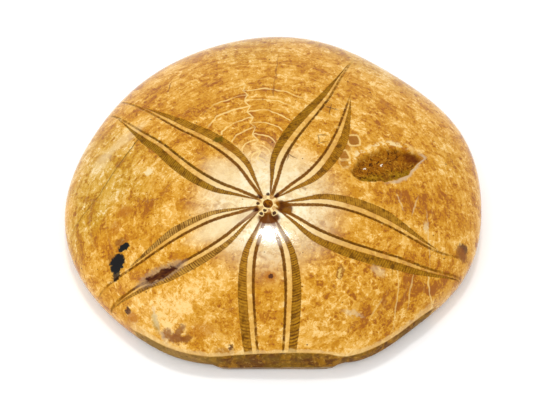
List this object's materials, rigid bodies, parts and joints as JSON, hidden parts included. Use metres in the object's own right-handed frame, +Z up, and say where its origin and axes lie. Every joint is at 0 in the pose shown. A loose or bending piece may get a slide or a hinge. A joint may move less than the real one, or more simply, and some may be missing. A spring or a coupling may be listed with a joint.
{
  "type": "fossil sand dollar",
  "caption": "Polished fossil sand dollar: a low oval dome flattened at the front, with grooved petals spreading from an off-centre disc, a worn dent and a gently hollowed underside.",
  "frame": {"origin": "on the rest plane, under the middle of the box round the test", "axes": "+Z up out of the domed side, +X across the longer width, -Y towards the flattened front end where the short petal points"},
  "size_m": [0.0759, 0.0706, 0.0185],
  "materials": {
    "fossil": "polished"
  },
  "bodies": {
    "root": {"test": "fossil"}
  },
  "joints": []
}
